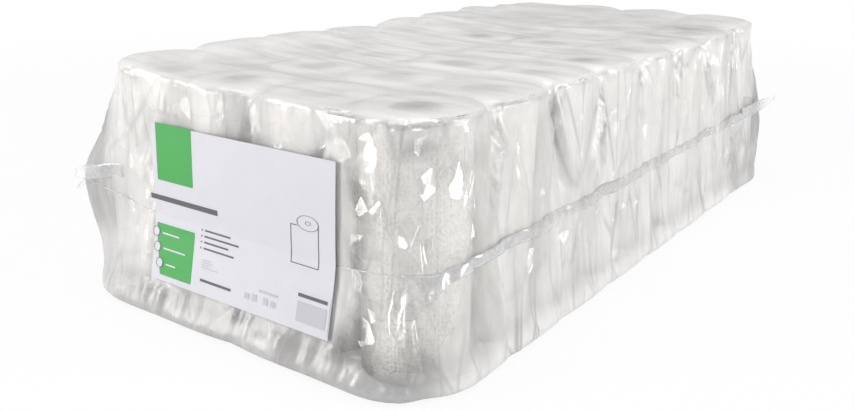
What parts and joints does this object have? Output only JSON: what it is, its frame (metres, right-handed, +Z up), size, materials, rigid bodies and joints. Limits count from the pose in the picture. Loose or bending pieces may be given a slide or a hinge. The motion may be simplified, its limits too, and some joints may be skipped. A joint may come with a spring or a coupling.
{
  "type": "pack of paper towel rolls",
  "caption": "Film-wrapped bundle of upright kitchen rolls in one layer, each pair in its own inner film, in a sealed clear bag with a sticker on one end.",
  "frame": {"origin": "middle of the bag's outline, on the surface that it stands on", "axes": "+Z up along the rolls, +Y along the pack away from the end with the sticker, +X across the pack"},
  "size_m": [0.4952, 0.9052, 0.2266],
  "materials": {
    "bag_film": "slack frosted film, glossy, with gathers at the seam",
    "label": "smooth bluish white sticker",
    "twin_film": "thin clear glossy film",
    "towel_paper": "soft white tissue, embossed",
    "core_card": "plain spiral wound card"
  },
  "bodies": {
    "root": {"outer_bag": "bag_film", "label": "label", "twin_wrap_1": "twin_film", "twin_wrap_2": "twin_film", "twin_wrap_3": "twin_film", "twin_wrap_4": "twin_film", "twin_wrap_5": "twin_film", "twin_wrap_6": "twin_film", "twin_wrap_7": "twin_film", "twin_wrap_8": "twin_film", "twin_wrap_9": "twin_film", "twin_wrap_10": "twin_film", "twin_wrap_11": "twin_film", "twin_wrap_12": "twin_film", "twin_wrap_13": "twin_film", "twin_wrap_14": "twin_film", "twin_wrap_15": "twin_film", "twin_wrap_16": "twin_film", "paper_roll_1": "towel_paper", "paper_roll_2": "towel_paper", "paper_roll_3": "towel_paper", "paper_roll_4": "towel_paper", "paper_roll_5": "towel_paper", "paper_roll_6": "towel_paper", "paper_roll_7": "towel_paper", "paper_roll_8": "towel_paper", "paper_roll_9": "towel_paper", "paper_roll_10": "towel_paper", "paper_roll_11": "towel_paper", "paper_roll_12": "towel_paper", "paper_roll_13": "towel_paper", "paper_roll_14": "towel_paper", "paper_roll_15": "towel_paper", "paper_roll_16": "towel_paper", "paper_roll_17": "towel_paper", "paper_roll_18": "towel_paper", "paper_roll_19": "towel_paper", "paper_roll_20": "towel_paper", "paper_roll_21": "towel_paper", "paper_roll_22": "towel_paper", "paper_roll_23": "towel_paper", "paper_roll_24": "towel_paper", "paper_roll_25": "towel_paper", "paper_roll_26": "towel_paper", "paper_roll_27": "towel_paper", "paper_roll_28": "towel_paper", "paper_roll_29": "towel_paper", "paper_roll_30": "towel_paper", "paper_roll_31": "towel_paper", "paper_roll_32": "towel_paper", "card_cores_1": "core_card", "card_cores_2": "core_card", "card_cores_3": "core_card", "card_cores_4": "core_card", "card_cores_5": "core_card", "card_cores_6": "core_card", "card_cores_7": "core_card", "card_cores_8": "core_card"}
  },
  "joints": []
}
